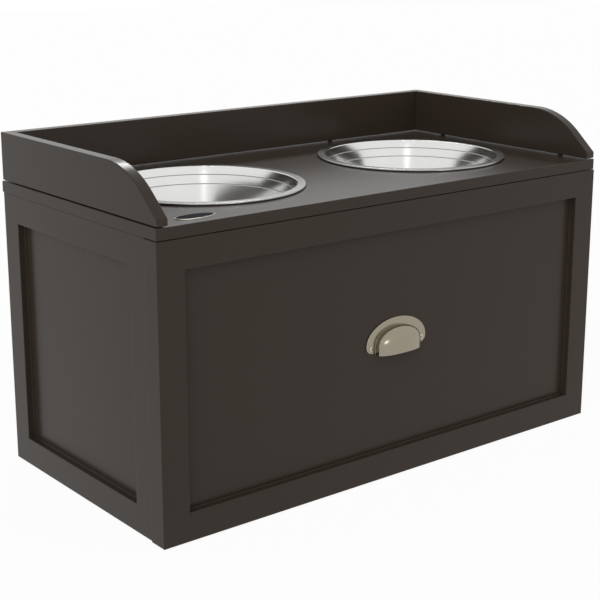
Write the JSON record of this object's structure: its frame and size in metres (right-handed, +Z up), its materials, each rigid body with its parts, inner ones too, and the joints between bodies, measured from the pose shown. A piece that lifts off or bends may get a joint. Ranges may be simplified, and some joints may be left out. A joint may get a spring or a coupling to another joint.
{
  "type": "elevated dog feeder",
  "caption": "Dark framed-panel cabinet that raises lift-out steel bowls above a pull-out storage drawer with a cup pull, with a low swept gallery round its top.",
  "frame": {"origin": "centre of the bounding box's bottom face, on the floor", "axes": "+X right along the front, the long way; +Y back, away from the drawer front; +Z up"},
  "size_m": [0.6, 0.3068, 0.366],
  "materials": {
    "lacquered_board": "dark espresso satin lacquer",
    "inner_board": "dark espresso foil, matt",
    "back_board": "dark espresso foil, matt",
    "bowl_steel": "polished stainless steel",
    "pull_nickel": "satin nickel",
    "zinc_steel": "zinc plated",
    "runner_enamel": "dark brown baked enamel",
    "roller_nylon": "moulded nylon",
    "dowel_wood": "bare beech, grooved",
    "glide_plastic": "moulded, matt"
  },
  "bodies": {
    "cabinet": {"side_left_front_stile": "lacquered_board", "side_left_back_stile": "lacquered_board", "side_left_bottom_rail": "lacquered_board", "side_left_top_rail": "lacquered_board", "side_left_panel": "lacquered_board", "side_right_front_stile": "lacquered_board", "side_right_back_stile": "lacquered_board", "side_right_bottom_rail": "lacquered_board", "side_right_top_rail": "lacquered_board", "side_right_panel": "lacquered_board", "top_board": "lacquered_board", "gallery_back": "lacquered_board", "gallery_left": "lacquered_board", "gallery_right": "lacquered_board", "gallery_spacers": "glide_plastic", "gallery_screws": "zinc_steel", "gallery_corner_dowels": "dowel_wood", "bottom_board": "inner_board", "front_rail": "inner_board", "back_rail": "inner_board", "back_panel": "back_board", "cam_bolts": "zinc_steel", "cam_locks": "zinc_steel", "top_rail_screws": "zinc_steel", "back_panel_screws": "zinc_steel", "glides": "glide_plastic", "runner_channel_left": "runner_enamel", "runner_channel_right": "runner_enamel", "channel_screws": "zinc_steel"},
    "drawer": {"drawer_front_left_stile": "lacquered_board", "drawer_front_right_stile": "lacquered_board", "drawer_front_bottom_rail": "lacquered_board", "drawer_front_top_rail": "lacquered_board", "drawer_front_panel": "lacquered_board", "cup_pull": "pull_nickel", "pull_screws": "pull_nickel", "drawer_side_left": "inner_board", "drawer_side_right": "inner_board", "drawer_box_front": "inner_board", "drawer_box_back": "inner_board", "drawer_bottom": "inner_board", "drawer_box_screws": "zinc_steel", "drawer_front_screws": "zinc_steel", "runner_slide_left": "runner_enamel", "runner_slide_right": "runner_enamel", "slide_screws": "zinc_steel"},
    "bowl_left": {"bowl_left": "bowl_steel"},
    "bowl_right": {"bowl_right": "bowl_steel"},
    "channel_roller_left": {"channel_roller_left": "roller_nylon"},
    "channel_roller_right": {"channel_roller_right": "roller_nylon"},
    "slide_roller_left": {"slide_roller_left": "roller_nylon"},
    "slide_roller_right": {"slide_roller_right": "roller_nylon"}
  },
  "joints": [
    {"name": "drawer_slide", "type": "slide", "parent": "cabinet", "child": "drawer", "axis": [0, -1, 0], "range_m": [0, 0.19]},
    {"name": "bowl_left_lift", "type": "slide", "parent": "cabinet", "child": "bowl_left", "axis": [0, 0, 1], "range_m": [0, 0.08]},
    {"name": "bowl_right_lift", "type": "slide", "parent": "cabinet", "child": "bowl_right", "axis": [0, 0, 1], "range_m": [0, 0.08]},
    {"name": "channel_roller_left_spin", "type": "hinge", "parent": "cabinet", "child": "channel_roller_left", "pos_m": [-0.2741, -0.1124, 0.0477], "axis": [1, 0, 0], "range_deg": [0, 1150]},
    {"name": "channel_roller_right_spin", "type": "hinge", "parent": "cabinet", "child": "channel_roller_right", "pos_m": [0.2741, -0.1124, 0.0477], "axis": [1, 0, 0], "range_deg": [0, 1150]},
    {"name": "slide_roller_left_spin", "type": "hinge", "parent": "drawer", "child": "slide_roller_left", "pos_m": [-0.2741, 0.1021, 0.047], "axis": [1, 0, 0], "range_deg": [0, 1150]},
    {"name": "slide_roller_right_spin", "type": "hinge", "parent": "drawer", "child": "slide_roller_right", "pos_m": [0.2741, 0.1021, 0.047], "axis": [1, 0, 0], "range_deg": [0, 1150]}
  ],
  "couplings": [
    {"joint": "channel_roller_left_spin", "follows": "drawer_slide", "rad_per_m": 105.26},
    {"joint": "channel_roller_right_spin", "follows": "drawer_slide", "rad_per_m": 105.26},
    {"joint": "slide_roller_left_spin", "follows": "drawer_slide", "rad_per_m": 105.26},
    {"joint": "slide_roller_right_spin", "follows": "drawer_slide", "rad_per_m": 105.26}
  ]
}
